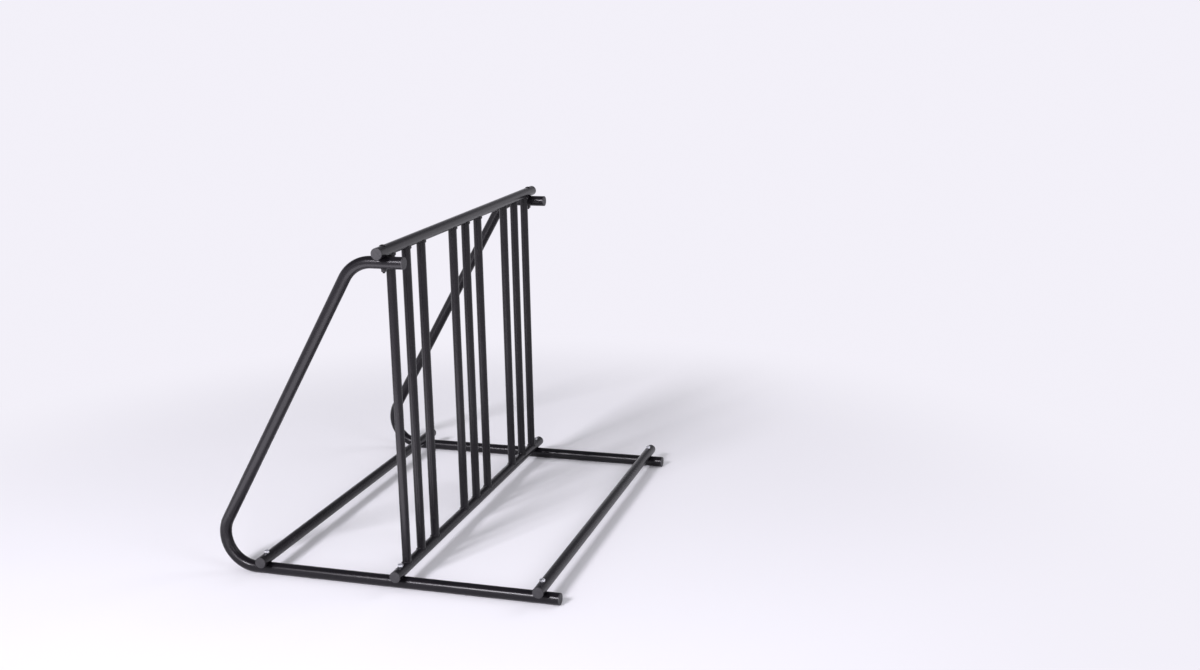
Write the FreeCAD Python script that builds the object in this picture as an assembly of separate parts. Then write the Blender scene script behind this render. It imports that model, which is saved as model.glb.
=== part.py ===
import FreeCAD, Part
import math
import os

# A floor-standing bicycle rack with six wheel slots, made of round steel tube.
# Two bent side frames lie on the floor. Four straight crossbars are bolted on top of
# them, and nine upright bars are welded between the middle and the top crossbar.
#
# Lengths are in millimetres. +X points to the open front ends of the base tubes,
# +Y to the left side frame and +Z up. The origin is on the floor, at the centre of
# the footprint.

V = FreeCAD.Vector
X_AXIS = V(1, 0, 0)
Y_AXIS = V(0, 1, 0)
Z_AXIS = V(0, 0, 1)

# ---- driving dimensions: tube ----
SIDE_TUBE_D = 25.4
SIDE_TUBE_WALL = 1.6
CROSS_TUBE_D = 24.0
CROSS_TUBE_WALL = 1.5
BAR_TUBE_D = 19.0
BAR_TUBE_WALL = 1.2

# ---- driving dimensions: side frames ----
FRAME_SPACING = 870.0        # between the centre planes of the two side frames
CROSSBAR_PITCH = 312.5       # rear to middle and middle to front crossbar
FRONT_REACH = 38.5           # front crossbar axis to the front face of the base tube's plug
REAR_STRAIGHT = 26.0         # straight base tube behind the rear crossbar axis
BEND_R = 70.0                # both bends, on the tube's centreline
SLANT_DEG = 60.0             # slanted rear leg above the floor
TOP_RUN_Z = 692.5            # centre height of the short level run at the top
TOP_REACH = 45.0             # top crossbar axis to the front face of the top run's plug

# ---- driving dimensions: crossbars and upright bars ----
CROSSBAR_OVERHANG = 31.0     # end of a crossbar beyond the side frame's centre plane
SADDLE_DEPTH = 2.2           # how far a crossbar is pressed in where it sits on a side tube
GROUP_COUNT = 3
GROUP_SPACING = 326.0
BARS_PER_GROUP = 3
BAR_PITCH = 76.0
WELD_LEG = 2.2               # weld bead's reach on the bar and on the crossbar

# ---- driving dimensions: M6 carriage bolts, washers and nuts ----
BOLT_D = 6.0
BOLT_HOLE_D = 6.6
BOLT_HEAD_D = 13.0
BOLT_HEAD_H = 2.8
BOLT_HEAD_RIM = 0.6
BOLT_NECK = 5.9              # width of the square neck under the head
NECK_HOLE = 6.2
NECK_LENGTH = 3.5
BOLT_TIP_CHAMFER = 0.6
BASE_BOLT_LENGTH = 50.0
TOP_BOLT_LENGTH = 55.0
SEAT_DEPTH = 0.8             # small flat pressed into a tube's crown under a washer or head
SEAT_CLEARANCE = 0.3         # seat radius beyond the washer's or head's
WASHER_D = 12.0
WASHER_HOLE_D = 6.4
WASHER_T = 1.2
NUT_ACROSS_FLATS = 10.0
NUT_H = 5.0
NUT_BORE_D = 6.04
NUT_CHAMFER_DEG = 30.0
DIMPLE_D = 13.6              # pocket pressed up into the base tube for the bolt's head
DIMPLE_DEPTH = 3.0

# ---- driving dimensions: end plugs ----
PLUG_CAP_T = 2.5
PLUG_CAP_UNDERSIZE = 0.1     # cap radius below the tube's
PLUG_EDGE_R = 1.0
PLUG_STEM_LENGTH = 14.0
PLUG_STEM_GAP = 0.9          # stem radius below the tube's bore
PLUG_RIB_GAP = 0.05          # rib radius below the tube's bore
PLUG_RIB_W = 1.2
PLUG_RIB_STARTS = (3.0, 6.5, 10.0)
PLUG_STEM_WALL = 1.6

# ---- worked out from the dimensions above ----
SIDE_R = SIDE_TUBE_D / 2
CROSS_R = CROSS_TUBE_D / 2
BAR_R = BAR_TUBE_D / 2
FRAME_Y = FRAME_SPACING / 2
SLANT = math.radians(SLANT_DEG)

DEPTH = FRONT_REACH + 2 * CROSSBAR_PITCH + REAR_STRAIGHT + BEND_R + SIDE_R
FRONT_END_X = DEPTH / 2
FRONT_X = FRONT_END_X - FRONT_REACH
MIDDLE_X = FRONT_X - CROSSBAR_PITCH
REAR_X = MIDDLE_X - CROSSBAR_PITCH
TOP_END_X = MIDDLE_X + TOP_REACH

BASE_Z = SIDE_R
STACK = SIDE_R + CROSS_R - SADDLE_DEPTH      # side tube axis to crossbar axis
LOW_CROSS_Z = BASE_Z + STACK
TOP_CROSS_Z = TOP_RUN_Z + STACK
CROSSBAR_END_Y = FRAME_Y + CROSSBAR_OVERHANG

CROSSBARS = {
    "rear": (REAR_X, LOW_CROSS_Z),
    "middle": (MIDDLE_X, LOW_CROSS_Z),
    "front": (FRONT_X, LOW_CROSS_Z),
    "top": (MIDDLE_X, TOP_CROSS_Z),
}
BASE_JOINT_XS = (REAR_X, MIDDLE_X, FRONT_X)
SIDES = {"right": -FRAME_Y, "left": FRAME_Y}


def cylinder(radius, length, start, direction):
    return Part.makeCylinder(radius, length, start, direction)


def along_x(radius, y, z):
    """A long cylinder on the axis of a side tube's level run."""
    return cylinder(radius, 2 * DEPTH, V(-DEPTH, y, z), X_AXIS)


def revolved(points):
    """A solid turned about Z from an outline of (radius, z) points."""
    corners = [V(r, 0, z) for r, z in points]
    outline = Part.makePolygon(corners + [corners[0]])
    return Part.Face(outline).revolve(V(0, 0, 0), Z_AXIS, 360)


def upright_box(width, height, x, y, z):
    return Part.makeBox(width, width, height, V(x - width / 2, y - width / 2, z))


# ---- side frames ----

def side_path(y):
    """Centreline of a side frame: base run, rear bend, slant, top bend and top run."""
    turn = math.pi - SLANT
    rear_centre = V(REAR_X - REAR_STRAIGHT, y, BASE_Z + BEND_R)
    rear_start = rear_centre - Z_AXIS * BEND_R
    rear_middle = rear_centre + V(-math.sin(turn / 2), 0, -math.cos(turn / 2)) * BEND_R
    rear_end = rear_centre + V(-math.sin(turn), 0, -math.cos(turn)) * BEND_R

    rise = TOP_RUN_Z - BEND_R * (1 - math.cos(SLANT)) - rear_end.z
    top_start = rear_end + V(rise / math.tan(SLANT), 0, rise)
    top_centre = top_start + V(math.sin(SLANT), 0, -math.cos(SLANT)) * BEND_R
    top_middle = top_centre + V(-math.sin(SLANT / 2), 0, math.cos(SLANT / 2)) * BEND_R
    top_end = top_centre + Z_AXIS * BEND_R

    base_front = V(FRONT_END_X - PLUG_CAP_T, y, BASE_Z)
    top_front = V(TOP_END_X - PLUG_CAP_T, y, TOP_RUN_Z)
    return Part.Wire([
        Part.makeLine(base_front, rear_start),
        Part.Arc(rear_start, rear_middle, rear_end).toShape(),
        Part.makeLine(rear_end, top_start),
        Part.Arc(top_start, top_middle, top_end).toShape(),
        Part.makeLine(top_end, top_front),
    ])


def swept_rod(path, radius):
    start = path.Edges[0].valueAt(path.Edges[0].FirstParameter)
    ring = Part.Wire([Part.makeCircle(radius, start, X_AXIS)])
    return path.makePipeShell([ring], True, False)


def side_frame(y):
    path = side_path(y)
    outside = swept_rod(path, SIDE_R)
    tube = outside.cut(swept_rod(path, SIDE_R - SIDE_TUBE_WALL))
    for x in BASE_JOINT_XS:
        floor = V(x, y, 0)
        cup = cylinder(DIMPLE_D / 2 + SIDE_TUBE_WALL, DIMPLE_DEPTH + SIDE_TUBE_WALL, floor, Z_AXIS)
        tube = tube.fuse(cup.common(outside))
        tube = tube.cut(cylinder(DIMPLE_D / 2, DIMPLE_DEPTH, floor, Z_AXIS))
        tube = tube.cut(upright_box(NECK_HOLE, SIDE_R, x, y, 0))
        tube = tube.cut(cylinder(BOLT_HOLE_D / 2, SIDE_R, V(x, y, BASE_Z), Z_AXIS))
    seat_z = TOP_RUN_Z - SIDE_R + SEAT_DEPTH
    seat_r = WASHER_D / 2 + SEAT_CLEARANCE
    tube = tube.cut(cylinder(seat_r, SIDE_R, V(MIDDLE_X, y, seat_z), -Z_AXIS))
    top_hole = V(MIDDLE_X, y, TOP_RUN_Z - SIDE_TUBE_D)
    return tube.cut(cylinder(BOLT_HOLE_D / 2, 2 * SIDE_TUBE_D, top_hole, Z_AXIS))


# ---- crossbars ----

def crossbar(x, z, seat_r, square_neck):
    """A crossbar with a pressed saddle, a crown flat and a bolt hole at each side frame."""
    length = 2 * (CROSSBAR_END_Y - PLUG_CAP_T)
    start = V(x, -length / 2, z)
    outside = cylinder(CROSS_R, length, start, Y_AXIS)
    bore = cylinder(CROSS_R - CROSS_TUBE_WALL, length, start, Y_AXIS)
    for y in SIDES.values():
        outside = outside.cut(along_x(SIDE_R, y, z - STACK))
        bore = bore.cut(along_x(SIDE_R + CROSS_TUBE_WALL, y, z - STACK))
    tube = outside.cut(bore)
    for y in SIDES.values():
        seat = V(x, y, z + CROSS_R - SEAT_DEPTH)
        tube = tube.cut(cylinder(seat_r, CROSS_R, seat, Z_AXIS))
        tube = tube.cut(cylinder(BOLT_HOLE_D / 2, CROSS_TUBE_D, V(x, y, z - CROSS_R), Z_AXIS))
        if square_neck:
            tube = tube.cut(upright_box(NECK_HOLE, CROSS_R, x, y, z))
    return tube


# ---- upright bars and their welds ----

def bar_ys():
    centre_group = (GROUP_COUNT - 1) / 2
    centre_bar = (BARS_PER_GROUP - 1) / 2
    for group in range(GROUP_COUNT):
        for bar in range(BARS_PER_GROUP):
            yield (group - centre_group) * GROUP_SPACING + (bar - centre_bar) * BAR_PITCH


def crossbar_core(z, radius, y):
    """A short piece of crossbar around one upright bar."""
    reach = 2 * BAR_TUBE_D
    return cylinder(radius, 2 * reach, V(MIDDLE_X, y - reach, z), Y_AXIS)


def upright_bar(y):
    """A bar whose ends are coped to fit round the middle and the top crossbar."""
    foot = V(MIDDLE_X, y, LOW_CROSS_Z)
    height = TOP_CROSS_Z - LOW_CROSS_Z
    tube = cylinder(BAR_R, height, foot, Z_AXIS)
    tube = tube.cut(cylinder(BAR_R - BAR_TUBE_WALL, height, foot, Z_AXIS))
    for z in (LOW_CROSS_Z, TOP_CROSS_Z):
        tube = tube.cut(crossbar_core(z, CROSS_R, y))
    return tube


def weld_bead(y, z, direction):
    """The fillet weld that runs round the foot or the head of one bar."""
    reach = CROSS_R + WELD_LEG
    ring = cylinder(BAR_R + WELD_LEG, reach, V(MIDDLE_X, y, z), direction)
    ring = ring.common(crossbar_core(z, reach, y))
    ring = ring.cut(cylinder(BAR_R, 2 * reach, V(MIDDLE_X, y, z), direction))
    return ring.cut(crossbar_core(z, CROSS_R, y))


# ---- fasteners ----

def carriage_bolt(length):
    """Dome head above z=0, square neck and shank below it."""
    rim = V(BOLT_HEAD_D / 2, 0, BOLT_HEAD_RIM)
    crown = V(0, 0, BOLT_HEAD_H)
    sphere_r = (rim.x ** 2 + (crown.z - rim.z) ** 2) / (2 * (crown.z - rim.z))
    lean = math.asin(rim.x / sphere_r) / 2
    between = V(sphere_r * math.sin(lean), 0, crown.z - sphere_r * (1 - math.cos(lean)))
    outline = Part.Wire([
        Part.makeLine(V(0, 0, 0), V(rim.x, 0, 0)),
        Part.makeLine(V(rim.x, 0, 0), rim),
        Part.Arc(rim, between, crown).toShape(),
        Part.makeLine(crown, V(0, 0, 0)),
    ])
    head = Part.Face(outline).revolve(V(0, 0, 0), Z_AXIS, 360)
    neck = upright_box(BOLT_NECK, NECK_LENGTH, 0, 0, -NECK_LENGTH)
    r = BOLT_D / 2
    shank = revolved([
        (0, 0),
        (r, 0),
        (r, -length + BOLT_TIP_CHAMFER),
        (r - BOLT_TIP_CHAMFER, -length),
        (0, -length),
    ])
    return head.fuse(neck).fuse(shank).removeSplitter()


def washer():
    ring = cylinder(WASHER_D / 2, WASHER_T, V(0, 0, 0), Z_AXIS)
    return ring.cut(cylinder(WASHER_HOLE_D / 2, WASHER_T, V(0, 0, 0), Z_AXIS))


def hex_nut():
    """A hexagon nut with the corners chamfered at both faces."""
    corner_r = NUT_ACROSS_FLATS / math.sqrt(3)
    angles = [math.radians(60 * i) for i in range(6)]
    corners = [V(corner_r * math.cos(a), corner_r * math.sin(a), 0) for a in angles]
    prism = Part.Face(Part.makePolygon(corners + [corners[0]])).extrude(Z_AXIS * NUT_H)
    face_r = NUT_ACROSS_FLATS / 2
    drop = (corner_r - face_r) * math.tan(math.radians(NUT_CHAMFER_DEG))
    turned = revolved([
        (0, 0),
        (face_r, 0),
        (corner_r, drop),
        (corner_r, NUT_H - drop),
        (face_r, NUT_H),
        (0, NUT_H),
    ])
    return prism.common(turned).cut(cylinder(NUT_BORE_D / 2, NUT_H, V(0, 0, 0), Z_AXIS))


def placed(shape, x, y, z, upside_down=False):
    copy = shape.copy()
    if upside_down:
        copy.rotate(V(0, 0, 0), X_AXIS, 180)
    copy.translate(V(x, y, z))
    return copy


def base_fasteners():
    """Head in the dimple under the base tube, washer and nut on the crossbar's crown."""
    bolt, ring, nut = carriage_bolt(BASE_BOLT_LENGTH), washer(), hex_nut()
    seat_z = LOW_CROSS_Z + CROSS_R - SEAT_DEPTH
    places = [(x, y) for x in BASE_JOINT_XS for y in SIDES.values()]
    return {
        "base_bolts": [placed(bolt, x, y, DIMPLE_DEPTH, True) for x, y in places],
        "base_washers": [placed(ring, x, y, seat_z) for x, y in places],
        "base_nuts": [placed(nut, x, y, seat_z + WASHER_T) for x, y in places],
    }


def top_fasteners():
    """Head on the top crossbar's crown, washer and nut under the side frame's top run."""
    bolt, ring, nut = carriage_bolt(TOP_BOLT_LENGTH), washer(), hex_nut()
    head_z = TOP_CROSS_Z + CROSS_R - SEAT_DEPTH
    seat_z = TOP_RUN_Z - SIDE_R + SEAT_DEPTH
    ys = SIDES.values()
    return {
        "top_bolts": [placed(bolt, MIDDLE_X, y, head_z) for y in ys],
        "top_washers": [placed(ring, MIDDLE_X, y, seat_z - WASHER_T) for y in ys],
        "top_nuts": [placed(nut, MIDDLE_X, y, seat_z - WASHER_T - NUT_H) for y in ys],
    }


# ---- end plugs ----

def end_plug(tube_r, wall, face, direction):
    """A moulded plug: a round-edged cap on the tube's end and a ribbed, hollow stem in it."""
    cap_r = tube_r - PLUG_CAP_UNDERSIZE
    bore_r = tube_r - wall
    stem_r = bore_r - PLUG_STEM_GAP
    edge = PLUG_EDGE_R * (1 - math.sqrt(0.5))
    outline = Part.Wire([
        Part.makeLine(V(0, 0, 0), V(cap_r - PLUG_EDGE_R, 0, 0)),
        Part.Arc(
            V(cap_r - PLUG_EDGE_R, 0, 0),
            V(cap_r - edge, 0, -edge),
            V(cap_r, 0, -PLUG_EDGE_R),
        ).toShape(),
        Part.makeLine(V(cap_r, 0, -PLUG_EDGE_R), V(cap_r, 0, -PLUG_CAP_T)),
        Part.makeLine(V(cap_r, 0, -PLUG_CAP_T), V(0, 0, -PLUG_CAP_T)),
        Part.makeLine(V(0, 0, -PLUG_CAP_T), V(0, 0, 0)),
    ])
    plug = Part.Face(outline).revolve(V(0, 0, 0), Z_AXIS, 360)
    under_cap = V(0, 0, -PLUG_CAP_T)
    stem = cylinder(stem_r, PLUG_STEM_LENGTH, under_cap, -Z_AXIS)
    for start in PLUG_RIB_STARTS:
        rib_at = under_cap - Z_AXIS * start
        stem = stem.fuse(cylinder(bore_r - PLUG_RIB_GAP, PLUG_RIB_W, rib_at, -Z_AXIS))
    plug = plug.fuse(stem)
    plug = plug.cut(cylinder(stem_r - PLUG_STEM_WALL, PLUG_STEM_LENGTH, under_cap, -Z_AXIS))
    plug = plug.removeSplitter()
    turn = FreeCAD.Rotation(Z_AXIS, direction)
    plug.Placement = FreeCAD.Placement(face, turn)
    return plug


# ---- assembly ----

def build():
    nodes = {}
    for side, y in SIDES.items():
        nodes["side_frame_" + side] = [side_frame(y)]
        nodes["plug_base_" + side] = [
            end_plug(SIDE_R, SIDE_TUBE_WALL, V(FRONT_END_X, y, BASE_Z), X_AXIS)]
        nodes["plug_top_run_" + side] = [
            end_plug(SIDE_R, SIDE_TUBE_WALL, V(TOP_END_X, y, TOP_RUN_Z), X_AXIS)]

    for name, (x, z) in CROSSBARS.items():
        is_top = name == "top"
        seat_r = (BOLT_HEAD_D if is_top else WASHER_D) / 2 + SEAT_CLEARANCE
        nodes["crossbar_" + name] = [crossbar(x, z, seat_r, is_top)]
        for side, y in SIDES.items():
            outward = Y_AXIS * math.copysign(1, y)
            face = V(x, math.copysign(CROSSBAR_END_Y, y), z)
            nodes["plug_crossbar_" + name + "_" + side] = [
                end_plug(CROSS_R, CROSS_TUBE_WALL, face, outward)]

    for number, y in enumerate(bar_ys(), start=1):
        nodes["upright_bar_" + str(number)] = [upright_bar(y)]
    nodes["welds_lower"] = [weld_bead(y, LOW_CROSS_Z, Z_AXIS) for y in bar_ys()]
    nodes["welds_upper"] = [weld_bead(y, TOP_CROSS_Z, -Z_AXIS) for y in bar_ys()]

    nodes.update(base_fasteners())
    nodes.update(top_fasteners())
    return nodes


os.makedirs("parts", exist_ok=True)
for node, solids in build().items():
    shape = solids[0] if len(solids) == 1 else Part.makeCompound(solids)
    valid = all(len(s.Solids) == 1 and s.isValid() for s in solids)
    print(node, len(solids), "solids", round(shape.Volume, 1), "mm3", "valid" if valid else "NOT VALID")
    shape.exportStep("parts/" + node + ".step")
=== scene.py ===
# %% [markdown]
# # A floor rack of bent tube, dressed for the camera
#
# The rack is bent and straight round steel tube under a satin black powder coat. Two bent
# side frames lie on the floor, four crossbars are bolted on top of them, and nine upright
# bars are welded between the middle and the top crossbar. The frame that is loaded here holds
# every piece at its real size. This lesson makes each piece again with a smooth surface and
# the small forms that catch the light: coped bar ends, weld beads, moulded plugs, bolt
# threads and chamfered nuts. Then it gives each of them its finish.
#
# Lengths are in metres. +X is the open front, +Y the left side frame and +Z up.

import math

import bpy
from mathutils import Matrix, Vector


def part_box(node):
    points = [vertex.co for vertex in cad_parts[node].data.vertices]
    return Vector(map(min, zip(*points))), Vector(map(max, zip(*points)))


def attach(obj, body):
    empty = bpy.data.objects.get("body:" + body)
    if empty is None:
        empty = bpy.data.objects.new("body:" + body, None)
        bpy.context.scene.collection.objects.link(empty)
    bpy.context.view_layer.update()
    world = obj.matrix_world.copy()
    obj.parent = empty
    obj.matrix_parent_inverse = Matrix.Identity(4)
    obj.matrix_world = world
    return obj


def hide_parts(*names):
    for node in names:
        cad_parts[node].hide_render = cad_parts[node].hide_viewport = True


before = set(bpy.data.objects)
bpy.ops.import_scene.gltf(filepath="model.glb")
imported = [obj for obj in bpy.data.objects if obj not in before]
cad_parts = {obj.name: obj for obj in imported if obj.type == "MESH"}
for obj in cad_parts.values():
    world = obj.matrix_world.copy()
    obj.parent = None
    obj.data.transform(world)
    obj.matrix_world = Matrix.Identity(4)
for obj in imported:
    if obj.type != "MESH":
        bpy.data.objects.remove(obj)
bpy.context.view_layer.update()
MM = 0.001

# %% [markdown]
# ## Sizes
#
# A tube is known by its axis, its radius and its wall. The axis and the radius are read from
# the box round each CAD node, so that a piece made here lies exactly where the CAD says. The
# tubes of the frame are faceted and their boxes can be a few hundredths of a millimetre
# small, so each reading is rounded to a tenth of a millimetre. Walls and bend radii don't
# show in a box, and are given by name.

# %% Sizes read from the frame
def tenth(value):
    """A length rounded to a tenth of a millimetre."""
    return round(value, 4)


def tube_along_y(node):
    """A crossbar's axis (x, z), its radius and the y of its cut end."""
    low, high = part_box(node)
    radius = tenth((high.x - low.x) / 2)
    return tenth((low.x + high.x) / 2), tenth(high.z - radius), radius, tenth(high.y)


side_low, side_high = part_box("side_frame_right")
side_r = tenth((side_high.y - side_low.y) / 2)
frame_y = tenth(-(side_low.y + side_high.y) / 2)
base_z = side_r
top_run_z = tenth(side_high.z - side_r)
SIDE_YS = {"right": -frame_y, "left": frame_y}

CROSSBARS = {name: tube_along_y("crossbar_" + name) for name in ("rear", "middle", "front", "top")}
middle_x, low_cross_z, cross_r, _ = CROSSBARS["middle"]
top_cross_z = CROSSBARS["top"][1]
joint_xs = [CROSSBARS[name][0] for name in ("rear", "middle", "front")]

bar_boxes = [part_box(f"upright_bar_{number}") for number in range(1, 10)]
bar_r = tenth((bar_boxes[0][1].y - bar_boxes[0][0].y) / 2)
bar_ys = [tenth((low.y + high.y) / 2) for low, high in bar_boxes]

cap_depth = tenth(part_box("plug_base_right")[1].x - side_high.x)
base_front_x = tenth(side_high.x)
top_front_x = tenth(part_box("plug_top_run_right")[1].x - cap_depth)

SIDE_WALL = 1.6 * MM
CROSS_WALL = 1.5 * MM
BAR_WALL = 1.2 * MM
BEND_R = 70 * MM
SLANT = math.radians(60)
print("tube radii, mm:", [round(r / MM, 2) for r in (side_r, cross_r, bar_r)])
print("crossings at x, mm:", [round(x / MM, 1) for x in joint_xs], "bars at y:", bar_ys)

# %% [markdown]
# ## Camera
#
# The camera stands about three metres off the right front corner, a little above the rack,
# and looks down on it by some fourteen degrees. Its place, aim and lens were worked out from
# the straight tubes: each one's two ends fix a line in the picture, and one camera makes all
# of the lines fit. A lens of 41 mm on a 36 mm sensor keeps the near side a little larger than
# the far one.

# %% Camera
CAMERA_AT = Vector((1.193, -2.8493, 1.1832))
CAMERA_TURN = math.radians(16.478)
CAMERA_DOWN = math.radians(13.730)
CAMERA_ROLL = math.radians(-1.035)
CAMERA_LENS = 40.75

camera_data = bpy.data.cameras.new("camera")
camera_data.sensor_width = 36.0
camera_data.lens = CAMERA_LENS
camera = bpy.data.objects.new("camera", camera_data)
bpy.context.scene.collection.objects.link(camera)
aim = (
    Matrix.Rotation(CAMERA_TURN, 4, "Z")
    @ Matrix.Rotation(math.radians(90) - CAMERA_DOWN, 4, "X")
    @ Matrix.Rotation(CAMERA_ROLL, 4, "Z")
)
camera.matrix_world = Matrix.Translation(CAMERA_AT) @ aim
bpy.context.scene.camera = camera
print("camera looks along", [round(v, 3) for v in aim.to_3x3() @ Vector((0, 0, -1))])

# %% [markdown]
# ## Modelling helpers
#
# Every piece is modelled the way it would be by hand: a primitive is added, shaped in edit
# mode and finished with modifiers. Operators act on whatever is selected, and loading the
# frame leaves its nodes selected, so each step starts by deselecting everything. A few short
# helpers keep the steps readable.

# %% Helpers: selection and edit mode
def clear_selection():
    if bpy.context.mode != "OBJECT":
        bpy.ops.object.mode_set(mode="OBJECT")
    bpy.ops.object.select_all(action="DESELECT")


def make_active(piece):
    clear_selection()
    piece.select_set(True)
    bpy.context.view_layer.objects.active = piece


def edit(piece):
    """Edit mode on this piece, with all of it selected."""
    make_active(piece)
    bpy.ops.object.mode_set(mode="EDIT")
    bpy.ops.mesh.select_mode(type="VERT")
    bpy.ops.mesh.select_all(action="SELECT")


def leave_edit():
    bpy.ops.object.mode_set(mode="OBJECT")


def select_faces(piece, wanted):
    """Selects the faces for which wanted(centre, normal) is true."""
    leave_edit()
    for part in (piece.data.vertices, piece.data.edges):
        part.foreach_set("select", [False] * len(part))
    chosen = [wanted(face.center, face.normal) for face in piece.data.polygons]
    piece.data.polygons.foreach_set("select", chosen)
    bpy.ops.object.mode_set(mode="EDIT")
    bpy.ops.mesh.select_mode(type="FACE")


def extrude(step):
    bpy.ops.mesh.extrude_region_move(TRANSFORM_OT_translate={"value": step})


def apply_modifier(piece, kind, **settings):
    make_active(piece)
    modifier = piece.modifiers.new(kind.lower(), kind)
    for name, value in settings.items():
        setattr(modifier, name, value)
    bpy.ops.object.modifier_apply(modifier=modifier.name)


def count_open_edges(piece):
    """How many edges don't have exactly two faces: none on a closed piece."""
    uses = {}
    for face in piece.data.polygons:
        for key in face.edge_keys:
            uses[key] = uses.get(key, 0) + 1
    return sum(1 for count in uses.values() if count != 2)


# %% Helpers: rods and cutters
RING = 64                     # vertices round a rod


def extrude_through(points):
    """Extrudes the selected face from the first point to each of the others in turn."""
    for before, after in zip(points, points[1:]):
        extrude(Vector(after) - Vector(before))


def rod(name, radius, start, end, stops=()):
    """A closed straight rod between two points: a filled circle, extruded.

    Each stop leaves a ring there, so that a form cut beside it can't disturb the smooth
    shading further along."""
    start, end = Vector(start), Vector(end)
    clear_selection()
    facing = (end - start).to_track_quat("Z", "Y").to_euler()
    bpy.ops.mesh.primitive_circle_add(
        vertices=RING, radius=radius, fill_type="NGON", location=start, rotation=facing)
    piece = bpy.context.object
    piece.name = name
    bpy.ops.object.transform_apply(location=True, rotation=True, scale=True)
    edit(piece)
    extrude_through([start, *stops, end])
    bpy.ops.mesh.select_all(action="SELECT")
    bpy.ops.mesh.normals_make_consistent(inside=False)
    leave_edit()
    return piece


def boolean(piece, cutter, operation="DIFFERENCE"):
    """Applies an exact boolean with the cutter and throws the cutter away."""
    apply_modifier(piece, "BOOLEAN", operation=operation, solver="EXACT", object=cutter)
    bpy.data.objects.remove(cutter)


# %% Helpers: turned pieces and copies
TURN_STEPS = 48
MERGE_WITHIN = 0.001 * MM


def merge_close(piece):
    """Merges vertices less than a micrometre apart, which booleans leave where forms touch."""
    edit(piece)
    bpy.ops.mesh.remove_doubles(threshold=MERGE_WITHIN)
    leave_edit()


def drawn_line(name, outline):
    """An open line through (radius, height) points, still in edit mode.

    A plane is merged to one vertex, which is extruded from point to point."""
    clear_selection()
    bpy.ops.mesh.primitive_plane_add(size=MM)
    piece = bpy.context.object
    piece.name = name
    edit(piece)
    bpy.ops.mesh.merge(type="CENTER")
    corners = [Vector((radius, 0, height)) for radius, height in outline]
    bpy.ops.transform.translate(value=corners[0])
    for before, after in zip(corners, corners[1:]):
        bpy.ops.mesh.extrude_vertices_move(TRANSFORM_OT_translate={"value": after - before})
    bpy.ops.mesh.select_all(action="SELECT")
    return piece


def turned(name, outline):
    """A solid of revolution about Z, from an outline of (radius, height) points."""
    piece = drawn_line(name, outline)
    bpy.ops.mesh.spin(steps=TURN_STEPS, angle=math.tau, center=(0, 0, 0), axis=(0, 0, 1))
    bpy.ops.mesh.select_all(action="SELECT")
    bpy.ops.mesh.remove_doubles(threshold=MERGE_WITHIN)
    bpy.ops.mesh.normals_make_consistent(inside=False)
    leave_edit()
    return piece


def placed_copy(piece, name, at, facing=(0, 0, 1), turn=0.0):
    """A copy with its own mesh: turned about Z, its Z axis aimed along facing, then moved."""
    make_active(piece)
    bpy.ops.object.duplicate(linked=False)
    copy = bpy.context.object
    copy.name = name
    aimed = Vector((0, 0, 1)).rotation_difference(Vector(facing)).to_matrix().to_4x4()
    copy.matrix_world = Matrix.Translation(at) @ aimed @ Matrix.Rotation(turn, 4, "Z")
    bpy.ops.object.transform_apply(location=True, rotation=True, scale=True)
    return copy


# %% [markdown]
# ## Finishes: the shared effects
#
# Four effects make up the finishes, and most of them come back in more than one, so each is
# a shader node group that is built once. *Surface grain* is the fine relief that sprayed
# powder and moulded plastic both have: a soft orange peel with a finer tooth on top. *Patchy
# tone* lets a colour drift a little from place to place, as no real coat is even. *Rub marks*
# are short dull streaks where things have been slid along the surface. *Floor wear* dulls
# what stands on or near the ground. All read object coordinates in metres, and every piece's
# origin is the origin of the frame, so neighbouring pieces don't repeat the same marks.

# %% Helpers: node groups
def new_group(name, inputs, outputs):
    """A shader node group with named sockets: {name: (type, default)} in, {name: type} out."""
    group = bpy.data.node_groups.new(name, "ShaderNodeTree")
    for socket, (kind, value) in inputs.items():
        made = group.interface.new_socket(socket, in_out="INPUT", socket_type=kind)
        if value is not None:
            made.default_value = value
    for socket, kind in outputs.items():
        group.interface.new_socket(socket, in_out="OUTPUT", socket_type=kind)
    entry = group.nodes.new("NodeGroupInput")
    leaving = group.nodes.new("NodeGroupOutput")
    return group, entry.outputs, leaving.inputs


def wire(tree, value, socket):
    """Links a node's output to a socket, or writes a plain value there."""
    if isinstance(value, bpy.types.NodeSocket):
        tree.links.new(value, socket)
    else:
        socket.default_value = value


def math_node(tree, operation, *values, clamp=False):
    node = tree.nodes.new("ShaderNodeMath")
    node.operation = operation
    node.use_clamp = clamp
    for value, socket in zip(values, node.inputs):
        wire(tree, value, socket)
    return node.outputs[0]


def noise(tree, position, scale, detail=2.0, roughness=0.5):
    """Noise with this many patches to the metre."""
    node = tree.nodes.new("ShaderNodeTexNoise")
    wire(tree, position, node.inputs["Vector"])
    wire(tree, scale, node.inputs["Scale"])
    node.inputs["Detail"].default_value = detail
    node.inputs["Roughness"].default_value = roughness
    return node.outputs["Fac"]


def noise_of_size(tree, position, size, detail):
    """Noise whose patches are about this wide, in metres."""
    return noise(tree, position, math_node(tree, "DIVIDE", 1.0, size), detail)


def ramp(tree, value, low, high, to_low=0.0, to_high=1.0):
    """Maps low..high smoothly to to_low..to_high and stays there outside."""
    node = tree.nodes.new("ShaderNodeMapRange")
    node.interpolation_type = "SMOOTHSTEP"
    given = {
        "Value": value, "From Min": low, "From Max": high, "To Min": to_low, "To Max": to_high,
    }
    for name, number in given.items():
        wire(tree, number, node.inputs[name])
    return node.outputs["Result"]


def stretch(tree, position, scale):
    node = tree.nodes.new("ShaderNodeMapping")
    wire(tree, position, node.inputs["Vector"])
    node.inputs["Scale"].default_value = scale
    return node.outputs["Vector"]


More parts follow.
